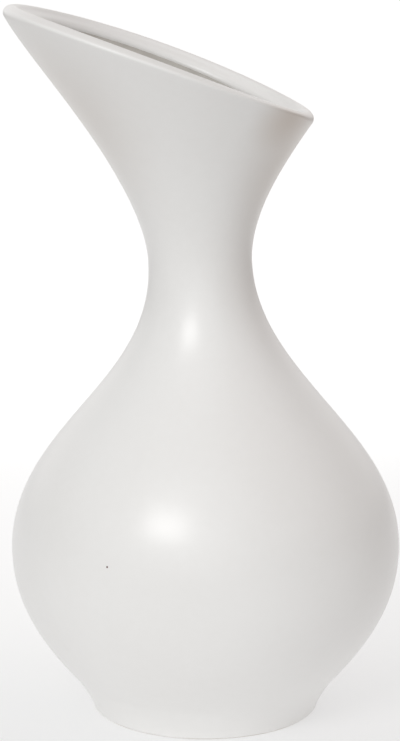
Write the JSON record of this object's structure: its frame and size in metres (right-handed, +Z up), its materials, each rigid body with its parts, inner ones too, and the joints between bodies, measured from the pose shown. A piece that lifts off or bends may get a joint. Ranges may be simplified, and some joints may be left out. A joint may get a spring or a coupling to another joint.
{
  "type": "ceramic vase",
  "caption": "Round-bellied ceramic vase with a slim leaning neck and a trumpet mouth cut on a slant, in satin white glaze, for cut flowers or dry stems.",
  "frame": {"origin": "centre of the foot, on the table that it stands on", "axes": "+Z up along the belly's axis, -X towards the lip's high tip, and -Y towards the viewer of the picture"},
  "size_m": [0.1702, 0.168, 0.3059],
  "materials": {
    "bare_clay": "bare fired stoneware, fine and dry",
    "white_glaze": "satin white glaze with a soft sheen",
    "grey_liner": "thin warm grey liner glaze, matte"
  },
  "bodies": {
    "root": {"foot_ring": "bare_clay", "belly": "bare_clay", "neck_and_mouth": "bare_clay", "outer_glaze": "white_glaze", "liner_glaze": "grey_liner"}
  },
  "joints": []
}
